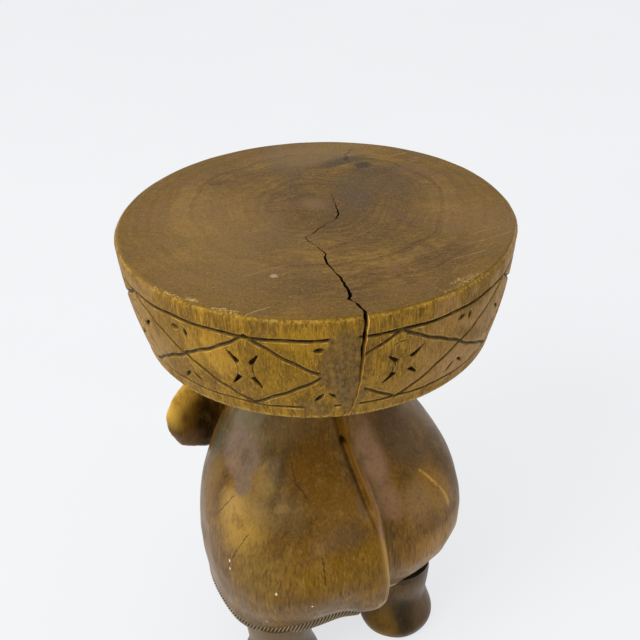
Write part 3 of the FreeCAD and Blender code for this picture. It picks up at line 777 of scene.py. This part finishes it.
def filler_mask(azimuth, down, height):
    """The smear of filler left of the check, wider half way down, with an uneven edge."""
    share = down / height
    places = np.stack([azimuth * 2.5, down, np.zeros_like(down)], -1)
    ragged = 1.9 * noise_at(places, 0.07) + 1.1 * noise_at(places, 0.22, 4)
    half = 2.9 + 3 * bell(share, 0.46, 0.17) - 1.6 * ease(0.75, 1, share)
    offset = azimuth - 18.4 - 0.9 * np.sin(share * 5) - 1.6 * bell(share, 0.45, 0.15)
    mask = ease(0.9, -0.5, np.abs(offset) - half + ragged)
    low_left = ease(0.6, -0.3, np.hypot((azimuth - 27) / 3.6, (share - 0.84) / 0.07) - 1 + 0.5 * ragged)
    return np.clip(mask * ease(0.04, 0.2, share) + 0.7 * low_left, 0, 1)


def seat_profile():
    """Rim radius by height, as the largest reach of the CAD seat round it, clear of its cuts."""
    low, high = node_box("seat")
    heights = np.linspace(low[2] + 0.05, high[2] - 0.05, 60)
    reach = outer_reach(np.arange(60, 340, 7.3), heights, "seat").max(axis=1)
    middle = slice(4, -4)
    reach[middle] = np.polyval(np.polyfit(heights[middle], reach[middle], 3), heights[middle])
    return low[2], high[2], heights, reach


def seat_blank_mesh(bottom, top, heights, reach):
    down = np.linspace(0, top - bottom, int((top - bottom) / RIM_STEP))
    rim_z = top - down
    rim_r = np.interp(rim_z, heights, reach)[:, None]
    azimuths = dense_azimuths(SEAT_COLUMN_COARSE, SEAT_COLUMN_FINE, 26, 85)
    grid_az, grid_down = np.meshgrid(azimuths, down)
    filler = filler_mask(grid_az, grid_down, top - bottom)
    depth = rim_pattern(grid_az, grid_down, top - bottom) * (1 - 0.9 * ease(0.35, 0.75, filler))
    points = ring_points(azimuths, rim_z, np.repeat(rim_r, len(azimuths), 1))
    uneven = 0.35 * noise_at(points, 0.05) + 0.18 * noise_at(points * (1, 1, 0.25), 0.6, 7)
    edge = bell(grid_down, 2, 2.2) * (0.3 + 0.7 * noise_at(points * (1, 1, 0), 0.05, 3))
    radius = rim_r - depth + uneven * ease(0, 4, grid_down) - np.clip(edge, 0, 1) * 0.9
    radius -= 0.35 * ease(1, 0, grid_down)
    arris = float(radius[0].min())

    def flat_rings(z, *radii):
        return ring_points(azimuths, np.full(len(radii), z), np.outer(radii, np.ones(len(azimuths))))

    over = flat_rings(top, 5, 30, 70, 110, 132, 142, arris - 4, arris - 0.9)
    rim = ring_points(azimuths, rim_z, np.minimum(radius, rim_r))
    under = flat_rings(bottom, 135.5, 128, 100, 60, 20, 4)
    return grid_mesh("carved_seat", np.concatenate([over, rim, under]), False, 50)


def check_cutter_mesh():
    """The wall of air that the drying check leaves, as a lofted strip through the seat."""
    rng = np.random.default_rng(7)
    path = []
    for start, end in zip(np.array(CHECK_PATH), np.array(CHECK_PATH)[1:]):
        steps = max(1, int(math.hypot(*(end - start)[:2]) / 2.6))
        path += [start + (end - start) * i / steps for i in range(steps)]
    path = np.array(path + [CHECK_PATH[-1]])
    path, half = path[:, :2], path[:, 2]
    jitter = rng.uniform(-0.6, 0.6, path.shape)
    jitter[0] = jitter[-1] = 0
    path = path + jitter
    before, after = np.roll(path, 1, 0), np.roll(path, -1, 0)
    before[0], after[-1] = path[0], path[-1]
    run = after - before
    run /= np.linalg.norm(run, axis=1)[:, None]
    normal = np.stack([run[:, 1], -run[:, 0]], 1)
    half = half * (1 + rng.uniform(-0.2, 0.2, len(path)))
    outline = np.concatenate([path + normal * half[:, None], (path - normal * half[:, None])[::-1]])
    turn_at_top = np.interp(CHECK_PATH_HEIGHT, CHECK_HEIGHTS, CHECK_AZIMUTHS)
    levels = np.linspace(CHECK_HEIGHTS[0], CHECK_HEIGHTS[-1], CHECK_LEVELS)
    azimuths = np.interp(levels, CHECK_HEIGHTS, CHECK_AZIMUTHS) + rng.uniform(-0.2, 0.2, CHECK_LEVELS)
    azimuths[levels > CHECK_UPRIGHT_ABOVE] = turn_at_top
    rings = []
    for z, azimuth in zip(levels, azimuths):
        angle = np.radians(azimuth - turn_at_top) * np.clip(np.linalg.norm(outline, axis=1) / 150, 0, 1.2)
        x = outline[:, 0] * np.cos(angle) + outline[:, 1] * np.sin(angle)
        y = -outline[:, 0] * np.sin(angle) + outline[:, 1] * np.cos(angle)
        rings.append(np.stack([x, y, np.full(len(x), z)], 1))
    count = len(outline)
    faces = []
    for j, i in np.ndindex(CHECK_LEVELS - 1, count):
        low, k = j * count, (i + 1) % count
        faces.append((low + i, low + k, low + count + k, low + count + i))
    for base, flip in ((0, True), ((CHECK_LEVELS - 1) * count, False)):
        for i in range(count // 2 - 1):
            quad = (base + i, base + i + 1, base + count - 2 - i, base + count - 1 - i)
            faces.append(quad[::-1] if flip else quad)
    mesh = bpy.data.meshes.new("check_cutter")
    mesh.from_pydata((np.concatenate(rings) * MM).tolist(), [], faces)
    tidy_normals(mesh, 30)
    return mesh


def make_seat(*materials):
    """The seat as one closed mesh, with the check cut out of it."""
    bottom, top, heights, reach = seat_profile()
    piece = new_object("carved_seat", seat_blank_mesh(bottom, top, heights, reach), *materials)
    cutter = new_object("check_cutter", check_cutter_mesh(), *materials)
    cutter.data.polygons.foreach_set("material_index", np.full(len(cutter.data.polygons), CHECK_MATERIAL))
    cut = piece.modifiers.new("check", "BOOLEAN")
    cut.operation = "DIFFERENCE"
    cut.solver = "EXACT"
    cut.object = cutter
    paint_seat(frozen(piece), bottom, top)
    bpy.data.objects.remove(cutter)
    return piece


def paint_seat(mesh, bottom, top):
    """Material by face, and how deep, worn or smeared each vertex is."""
    co = vertex_array(mesh)
    azimuth = np.degrees(np.arctan2(co[:, 0], co[:, 1])) % 360
    radius, down = np.hypot(co[:, 0], co[:, 1]), top - co[:, 2]
    on_rim = (radius > RIM_INSIDE_RADIUS) & (down > 0.3)
    filler = filler_mask(azimuth, down, top - bottom)
    # How deep each cut is, which sets the painted shade in it
    cavity = rim_pattern(azimuth, down, top - bottom) / CARVE_DEPTH * on_rim
    cavity = cavity * (1 - 0.9 * ease(0.35, 0.75, filler))
    wear = np.maximum(0.55 * bell(down, 1.9, 0.6), 0.9 * bell(down, top - bottom - 2, 1.1)) * on_rim
    arris = radius[down < 0.05].max()
    wear = np.maximum(wear, ease(arris - 1.3, arris - 0.6, radius) * 0.6 * (down < 0.9))
    set_attributes(mesh, cavity=cavity, wear=wear, filler=filler * on_rim)
    middle = np.empty(len(mesh.polygons) * 3)
    mesh.polygons.foreach_get("center", middle)
    height = middle.reshape(-1, 3)[:, 2] / MM
    index = np.empty(len(mesh.polygons), np.int32)
    mesh.polygons.foreach_get("material_index", index)
    index[(index != CHECK_MATERIAL) & (height > top - 1.2)] = TOP_MATERIAL
    mesh.polygons.foreach_set("material_index", index)
    mesh.polygons.foreach_set("use_smooth", height < top - 0.01)


# Body: rump, haunches, shoulders and tail as one carved skin

BODY_COLUMN_FINE = 0.5
BODY_COLUMN_COARSE = 1.15
BODY_ROW_STEP = 1.25
BODY_INSET = 0.2
# Azimuths of the tail's groove and the head's housing in the CAD body, and the housing's lowest height
TAIL_GROOVE = (-22, 22)
HEAD_HOUSING = (128, 232)
HOUSING_BOTTOM = 150


def bridged(reach, azimuths, low, high, window=9):
    """The rows with the stretch between two azimuths redrawn from what lies on both sides of it."""
    out = reach.copy()
    inside = (azimuths > low) & (azimuths < high)
    middle, half = (low + high) / 2, (high - low) / 2
    beside = ~inside & (np.abs(azimuths - middle) <= half + window)
    for row in out:
        curve = np.polyfit(azimuths[beside] - middle, row[beside], 4)
        row[inside] = np.polyval(curve, azimuths[inside] - middle)
    return out


def body_reach(azimuths, heights):
    """The CAD body's reach, with the tail's groove and the head's housing bridged over."""
    reach = bridged(outer_reach(azimuths, heights, "body"), azimuths, *TAIL_GROOVE)
    front = heights > HOUSING_BOTTOM
    turned = azimuths % 360
    order = np.argsort(turned)
    housed = bridged(reach[front][:, order], turned[order], *HEAD_HOUSING, 12)
    reach[front] = housed[:, np.argsort(order)]
    return blurred(reach, 2.6, 3)


def body_carving(azimuths, heights, reach):
    """What the knife leaves on the skin: the tail ridge, its groove, the valleys and the haunches."""
    az, z = np.meshgrid(azimuths, heights)
    sine, cosine = turns(az)
    x = reach * sine
    rear = ease(0.3, 0.8, cosine)

    low_tail = ease(196, 162, z)
    crest = 0.6 + 0.6 * np.sin(z * 0.045)
    ridge = np.where(x < crest, bell(x, crest, 9 - 5.6 * low_tail), bell(x, crest, 2.2 + 17 * low_tail))
    tail = outer_reach(np.arange(-2, 5), heights, "tail").max(axis=1)
    rise = np.clip(tail - reach[:, np.abs(azimuths) < 2].mean(axis=1), 2.5, 11)[:, None]
    added = ease(80, 92, z) * ridge * blurred(rise, 5, 0)

    groove_x = crest + np.interp(z, (172, 180, 195, 217, 235, 330), (2, 2.4, 3.4, 4.8, 6, 7))
    groove_width = np.interp(z, (172, 195, 235, 330), (1, 1.7, 2.8, 3.2))
    added -= 4.6 * bell(x, groove_x, groove_width) * ease(168, 188, z)
    # The haunch's edge beside the groove, the valleys right and left of the tail, and the hem drawn in
    added += 2.6 * bell(x, groove_x + 7.5, 5) * ease(178, 205, z) * ease(262, 235, z)
    added -= 6.5 * bell(x, -11, 7) * ease(225, 185, z) * (1 + 0.4 * ease(110, 80, z))
    added -= 2.5 * bell(x, -30, 14) * ease(185, 215, z) * ease(290, 250, z)
    added -= 7 * ease(-8, -24, x) * ease(118, 84, z) + 3.5 * ease(14, 34, x) * ease(106, 82, z)
    hole = bell(x, 5.2, 2) * bell(z, 233, 1.9) * rear
    added = (added * rear) - 4 * hole

    # Flanks, shoulders, waist and the flare under the seat
    added -= 3.6 * bell(az, 76, 11) * bell(z, 226, 15) + 3.2 * bell(az, -72, 13) * bell(z, 224, 16)
    added += 3 * bell(np.abs(az), 128, 16) * bell(z, 188, 34)
    added -= 2.6 * bell(np.abs(az), 96, 14) * bell(z, 132, 30)
    added += 9 * ease(314, 331, z) ** 2

    amber_left = np.interp(z, (186, 198, 204, 216, 233), (0.8, 1.8, 2.8, 4.2, 5.6))
    amber = ease(0, 1.2, x) * ease(amber_left + 0.9, amber_left - 0.9, x)
    amber *= ease(180, 192, z) * ease(260, 242, z)
    amber = np.maximum(amber, 0.7 * bell(x, 3.2, 2.6) * bell(z, 166, 12)) * rear
    # A painted highlight runs along the tail's crest
    crest_x = np.interp(z, (112, 148, 165, 173, 191, 206, 233), (-3, 1, 1.4, 2, -1.2, -1, -1.6))
    line = bell(x, crest_x, np.interp(z, (160, 184), (2, 1))) * rear * ease(222, 204, z) * ease(96, 112, z)
    wear = line * np.interp(z, (110, 150, 175, 200), (0.7, 0.9, 1, 0.7))
    # The hole gets painted shade, and the crest a painted highlight
    return added, {"cavity": hole * 1.1, "wear": wear, "amber": amber}


def make_body(material):
    low, high = node_box("body")
    azimuths = dense_azimuths(BODY_COLUMN_COARSE, BODY_COLUMN_FINE, 8, 55)
    azimuths = np.sort(np.where(azimuths > 180, azimuths - 360, azimuths))
    heights = np.linspace(low[2] + BODY_INSET, high[2] - BODY_INSET, int((high[2] - low[2]) / BODY_ROW_STEP))
    reach = body_reach(azimuths, heights)
    added, marks = body_carving(azimuths, heights, reach)
    points = ring_points(azimuths, heights, reach)
    uneven = 0.9 * noise_at(points, 0.022) + 0.35 * noise_at(points, 0.07, 5)
    reach = reach + blurred(added, 0.6, 0.6) + uneven
    reach[0] -= 1.2
    points = ring_points(azimuths, heights, reach)
    points[0, :, 2] = low[2]
    return carved("carved_body", points, material, marks), (azimuths, heights, reach)


ROPE_PITCH = 3.2
ROPE_COLUMNS = 1700
ROPE_TOP = 83.4
ROPE_SWELL = 0.9
ROPE_CUT = 1.5
ROPE_DEPTH = 9
ROPE_LEAN = 1.8
# The rope stops behind the tail's tip, between these azimuths
ROPE_ENDS = (-58, 7)


def make_rope_hem(material, skin):
    """The rope-like border at the belly: slanted gouges on a band that rounds the hem."""
    azimuths, heights, reach = skin
    upper = reach[np.searchsorted(heights, ROPE_TOP)]
    fine = np.linspace(-180, 180, ROPE_COLUMNS, endpoint=False)
    sine, cosine = turns(fine)
    line = np.interp(fine, azimuths, blurred(upper[None, :], 0, 4)[0], period=360)
    hidden = ease(ROPE_ENDS[0] - 8, ROPE_ENDS[0], fine) * ease(ROPE_ENDS[1] + 3, ROPE_ENDS[1] - 1, fine)
    arc = np.cumsum(np.radians(360 / ROPE_COLUMNS) * line)
    phase = arc / arc[-1] * round(arc[-1] / ROPE_PITCH)
    bottom = heights[0] + 0.1
    rings, cuts = [], []
    for share in (0, 0.04, 0.14, 0.28, 0.44, 0.6, 0.76, 0.9, 1):
        z = ROPE_TOP + (bottom - ROPE_TOP) * share + 0.7 * (1 - share) * np.sin(np.radians(fine * 3 - 60))
        cut = groove((phase - share * ROPE_LEAN) % 1 - 0.5, 0.4)
        cuts.append(cut * ease(0, 0.12, share) * ease(1, 0.85, share) * (1 - hidden))
        swell = ROPE_SWELL * math.sin(math.pi * share) - 0.2 - 1.6 * share ** 3
        rings.append((line + swell - ROPE_CUT * cuts[-1] - 4 * hidden, z))
    for z in (bottom, ROPE_TOP):
        rings.append((line - ROPE_DEPTH, np.full(ROPE_COLUMNS, z)))
        cuts.append(np.zeros(ROPE_COLUMNS))
    points = np.array([np.stack([ring * sine, ring * cosine, z], 1) for ring, z in rings])
    # The gouges carry painted shade
    return carved("rope_hem", points, material, {"cavity": np.concatenate(cuts)}, 70, closed=True)


# Legs, head, ears, tusks and eyes

# Turn of each toe nail from straight ahead
NAILS = (-46, -16, 16, 46)
EYE_RADIUS = 5.4
EYE_STANDS_OUT = 1.2


def carved_from(node, material, voxel, rounds, lumps):
    """A copy of a CAD node as an even, softened skin with the small unevenness of knife work."""
    name = "carved_" + node
    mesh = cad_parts[node].data.copy()
    mesh.materials.clear()
    piece = new_object(name, mesh, material)
    remesh = piece.modifiers.new("skin", "REMESH")
    remesh.mode = "VOXEL"
    remesh.voxel_size = voxel * MM
    soften = piece.modifiers.new("soften", "SMOOTH")
    soften.factor = 0.6
    soften.iterations = rounds
    made = frozen(piece)
    co = vertex_array(made)
    normals = np.empty(co.size, np.float32)
    made.vertices.foreach_get("normal", normals)
    shift = lumps * noise_at(co, 0.05, len(name)) + 0.3 * lumps * noise_at(co, 0.16, 2)
    co += normals.reshape(-1, 3) * shift[:, None]
    co[:, 2] = np.maximum(co[:, 2], 0)
    made.vertices.foreach_set("co", (co * MM).astype(np.float32).ravel())
    tidy_normals(made, 50)
    return piece


def make_leg(node, material):
    """A leg turned by knife: a waist, a swelling foot and cut toe nails at the front."""
    low, high = node_box(node)
    top = node_box("body")[0][2]
    azimuths = np.arange(0, 360, 1.6)
    heights = np.append(np.linspace(0, top - 0.2, 70), top + 6)
    centres = np.repeat((low[None, :2] + high[None, :2]) / 2, len(heights), 0)
    reach = outer_reach(azimuths, np.clip(heights, 0.3, top - 0.3), node, centres=centres)
    reach = blurred(reach, 2.5, 3)
    az, z = np.meshgrid(azimuths, heights)
    reach += 1.3 * bell(z, 13, 6) - 1.2 * bell(z, 40, 14) - 1.8 * ease(4.5, 0, z) ** 2
    # The nails' cut lines also carry painted shade
    cavity = np.zeros_like(reach)
    for offset in NAILS:
        from_nail = (az - 180 - offset) * math.radians(reach.mean())
        arch = np.hypot(from_nail / 6.2, (z - 2) / 9.5)
        line = groove(arch - 1, 0.17) * (z < 14)
        reach += 0.5 * (arch < 0.9) * ease(1, 0.7, arch) - 0.9 * line
        cavity = np.maximum(cavity, 0.8 * line)
    reach += 0.6 * noise_at(ring_points(azimuths, heights, reach, centres), 0.045, 9)
    points = ring_points(azimuths, heights, reach, centres)
    return carved("carved_" + node, points, material, {"cavity": cavity})


def head_centres(heights):
    """The middle of the head and trunk from front to back, by height."""
    tree, far = tree_of("head"), 400
    centres = np.zeros((len(heights), 2))
    for j, z in enumerate(heights):
        for side in (-1, 1):
            hit = tree.ray_cast(Vector((0, side * far, z)), Vector((0, -side, 0)))[0]
            centres[j, 1] += hit.y / 2
    return centres


def make_head(material):
    """Head and trunk: brow, cheeks, mouth line, eye hollows and the rings of the trunk."""
    low, high = node_box("head")
    azimuths = np.arange(0, 360, 1)
    heights = np.linspace(low[2] + 0.2, high[2] - 0.4, 250)
    centres = blurred(head_centres(heights), 3, 0)
    reach = blurred(outer_reach(azimuths, heights, "head", centres=centres), 3.2, 4.5)
    az, z = np.meshgrid(azimuths, heights)
    points = ring_points(azimuths, heights, reach, centres)
    side, y = np.abs(points[..., 0]), points[..., 1]
    sine, cosine = turns(az)
    front = ease(-0.1, 0.6, -cosine)
    trunk = ease(186, 168, z) * front
    rings_at = (z + 6 * sine ** 2) / 11
    ring = groove((rings_at % 1 - 0.5) * 11, 1.3) * trunk * ease(10, 22, z)
    eye_low, eye_high = node_box("left_eye")
    eye = (eye_low + eye_high) / 2
    from_eye = np.sqrt((side - eye_high[0] + 2) ** 2 * 0.4 + (y - eye[1]) ** 2 + (z - eye[2]) ** 2)
    lid = groove(from_eye - 9, 1.2)
    mouth_height = 186 + 0.35 * np.clip(y + 128, 0, 60)
    mouth = groove(z - mouth_height, 1.7) * ease(14, 22, side) * (y < -84)
    reach -= ring + 0.45 * np.cos(rings_at * 2 * math.pi) * trunk
    reach -= 2.6 * bell(from_eye, 0, 10) + 0.8 * lid + 1.8 * mouth
    # Brow, the domes and the dip between them, and the cheeks
    reach += 4 * bell(side, 30, 13) * bell(z, 276, 8) * front + 3 * bell(side, 22, 13) * bell(z, 300, 14)
    reach += 2.4 * bell(side, 40, 12) * bell(z, 214, 16) - 2.2 * bell(side, 0, 6) * ease(262, 290, z) * front
    reach += 0.7 * noise_at(ring_points(azimuths, heights, reach, centres), 0.03, 11)
    # Painted shade goes in the trunk's rings, round the eye lids and in the mouth
    cavity = np.max([0.75 * ring, 0.7 * lid, 0.9 * mouth], axis=0)
    return carved("carved_head", ring_points(azimuths, heights, reach, centres), material, {"cavity": cavity})


def make_ear(node, material):
    """An ear with painted shade in the fold where it meets the head."""
    piece = carved_from(node, material, 2, 14, 0.9)
    side = np.abs(vertex_array(piece.data)[:, 0])
    set_attributes(piece.data, cavity=0.5 * ease(60, 44, side))
    return piece


def make_eye(node, material):
    """A polished bead with a rounded face, turned on the CAD plug's own axis."""
    co = vertex_array(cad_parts[node].data)
    centre = co.mean(axis=0)
    axis = Vector(np.linalg.svd(co - centre)[2][0])
    if axis.dot(Vector((centre[0], centre[1] + 70, 0))) < 0:
        axis = -axis
    rise, level = turns(np.linspace(-85, 85, 25)[:, None])
    sine, cosine = turns(np.linspace(0, 360, 40, endpoint=False)[None, :])
    points = EYE_RADIUS * np.stack([level * sine, level * cosine, rise * np.ones_like(sine)], -1)
    turn = np.array(axis.to_track_quat("Z", "Y").to_matrix())
    points = points @ turn.T + centre + np.array(axis) * EYE_STANDS_OUT
    return carved("carved_" + node, points, material, {}, 35)


# Camera, light and floor

SENSOR = 36
FOCAL_PIXELS = 896
PICTURE_PIXELS = 640
CAMERA_DISTANCE = 690.8
CAMERA_ELEVATION = 25.6
CAMERA_AZIMUTH = 25.8
CAMERA_PITCH = 6.77
CAMERA_YAW = 0.09
CAMERA_ROLL = 1.87
FLOOR_SIZE = 30
FLOOR_GLOW = 0.72
WORLD_LIGHT = 0.78
WORLD_LIGHT_BEHIND = 0.3
KEY_POWER = 34
KEY_SIZE = 1.6
KEY_PLACE = (1.8, 0.5, 1.9)
KEY_AIM = (0, 0, 0.2)


def swung(first, second, degrees):
    """Two directions turned from the first towards the second."""
    sine, cosine = math.sin(math.radians(degrees)), math.cos(math.radians(degrees))
    return first * cosine + second * sine, second * cosine - first * sine


def make_camera(seat_top):
    """The photograph's camera: aimed from above at the seat's top, then tipped down and rolled a little."""
    up = Vector((0, 0, 1))
    level = swung(Vector((0, 1, 0)), Vector((1, 0, 0)), CAMERA_AZIMUTH)[0]
    place = swung(level, up, CAMERA_ELEVATION)[0]
    right = (-place).cross(up).normalized()
    forward, down = swung(-place, (-place).cross(right), CAMERA_PITCH)
    forward, right = swung(forward, right, CAMERA_YAW)
    right, down = swung(right, down, CAMERA_ROLL)
    data = bpy.data.cameras.new("camera")
    data.sensor_width = SENSOR
    data.lens = FOCAL_PIXELS / PICTURE_PIXELS * SENSOR
    data.clip_end = 60
    camera = placed("camera", data)
    turn = Matrix((right, -down, -forward)).transposed().to_4x4()
    camera.matrix_world = Matrix.Translation(place * CAMERA_DISTANCE * MM + up * seat_top * MM) @ turn
    bpy.context.scene.camera = camera


def make_floor():
    corners = [(x * FLOOR_SIZE, y * FLOOR_SIZE, 0) for x, y in ((-1, -1), (1, -1), (1, 1), (-1, 1))]
    mesh = bpy.data.meshes.new("floor")
    mesh.from_pydata(corners, [], [(0, 1, 2, 3)])
    shader = Shader("floor_white")
    grain = shader.between(shader.noise((3, 3, 3), 2), 0.3, 0.7)
    shader.colour = shader.mix(grain, srgb(126, 127, 130), srgb(128, 129, 132))
    shader.put(shader.surface, {"Emission Color": (0.975, 0.985, 1, 1), "Emission Strength": FLOOR_GLOW})
    floor = new_object("floor", mesh, shader.finish(0.85, 0, tint=PLAIN_GLOSS))


def make_lights():
    """A white studio that is dimmer behind the camera, and a large soft light from above."""
    world = bpy.data.worlds.new("studio")
    bpy.context.scene.world = world
    world.use_nodes = True
    nodes, links = world.node_tree.nodes, world.node_tree.links
    facing = nodes.new("ShaderNodeVectorMath")
    facing.operation = "DOT_PRODUCT"
    links.new(nodes.new("ShaderNodeTexCoord").outputs["Generated"], facing.inputs[0])
    azimuth = math.radians(CAMERA_AZIMUTH)
    facing.inputs[1].default_value = (math.sin(azimuth), math.cos(azimuth), 0)
    dimmer = nodes.new("ShaderNodeMapRange")
    dimmer.interpolation_type = "SMOOTHSTEP"
    links.new(facing.outputs["Value"], dimmer.inputs["Value"])
    for place, value in enumerate((0.1, 0.9, WORLD_LIGHT, WORLD_LIGHT_BEHIND), 1):
        dimmer.inputs[place].default_value = value
    nodes["Background"].inputs["Color"].default_value = (0.97, 0.98, 1, 1)
    links.new(dimmer.outputs["Result"], nodes["Background"].inputs["Strength"])
    data = bpy.data.lights.new("key_light", "AREA")
    data.shape = "DISK"
    data.size = KEY_SIZE
    data.energy = KEY_POWER
    data.color = (1, 0.98, 0.95)
    light = placed("key_light", data)
    light.location = KEY_PLACE
    light.rotation_euler = (Vector(KEY_AIM) - light.location).to_track_quat("-Z", "Y").to_euler()


def main():
    bpy.context.scene.view_settings.view_transform = "Standard"
    hem_wood = plain_wood_material("hem_wood", ((176, 154, 124), (160, 138, 108), (130, 108, 80)), 0.6)
    leg_wood = body_material("leg_wood_dark", LEG_TONES_AND_LIGHT, shade=0.62, grain=0.25)
    ear_wood = body_material("ear_wood_waxed", EAR_TONES_AND_SHADE)
    tusk_wood = plain_wood_material("tusk_wood_pale", ((214, 186, 136), (196, 164, 112), (160, 126, 80)), 0.4)
    eye_wood = plain_wood_material("eye_wood_black", ((44, 34, 26), (30, 22, 16), (16, 12, 9)), 0.2, 0.6)
    dowel_wood = plain_wood_material("dowel_wood_plain", ((186, 150, 100), (160, 124, 78), (120, 88, 52)))

    seat = make_seat(rim_material(), top_material(), crack_material())
    body_wood = body_material("body_wood_waxed", BODY_TONES_AND_LIGHT, HAIR_CRACKS, HIGHLIGHT_STREAKS, CHIPS)
    body, skin = make_body(body_wood)
    pieces = [
        (seat, "seat_wood", ["seat"]),
        (body, "body_wood", ["body", "tail"]),
        (make_rope_hem(hem_wood, skin), "body_wood", []),
        (make_head(body_material("head_wood_waxed")), "head_wood", ["head"]),
    ]
    for side in ("left", "right"):
        ear, tusk, eye, front_leg, rear_leg = [
            name % side for name in ("%s_ear", "%s_tusk", "%s_eye", "front_%s_leg", "rear_%s_leg")]
        pieces += [
            (make_ear(ear, ear_wood), "ear_wood", [ear]),
            (carved_from(tusk, tusk_wood, 0.9, 8, 0.25), "tusk_wood", [tusk]),
            (make_eye(eye, eye_wood), "eye_wood", [eye]),
            (make_leg(front_leg, leg_wood), "leg_wood", [front_leg]),
            (make_leg(rear_leg, leg_wood), "leg_wood", [rear_leg]),
        ]
    for piece, slot, nodes in pieces:
        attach(piece, ROOT)
        if nodes:
            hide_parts(*nodes)
    for node in ("seat_dowels", "head_dowels"):
        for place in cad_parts[node].material_slots:
            place.material = dowel_wood

    make_floor()
    make_lights()
    make_camera(node_box("seat")[1][2])


main()
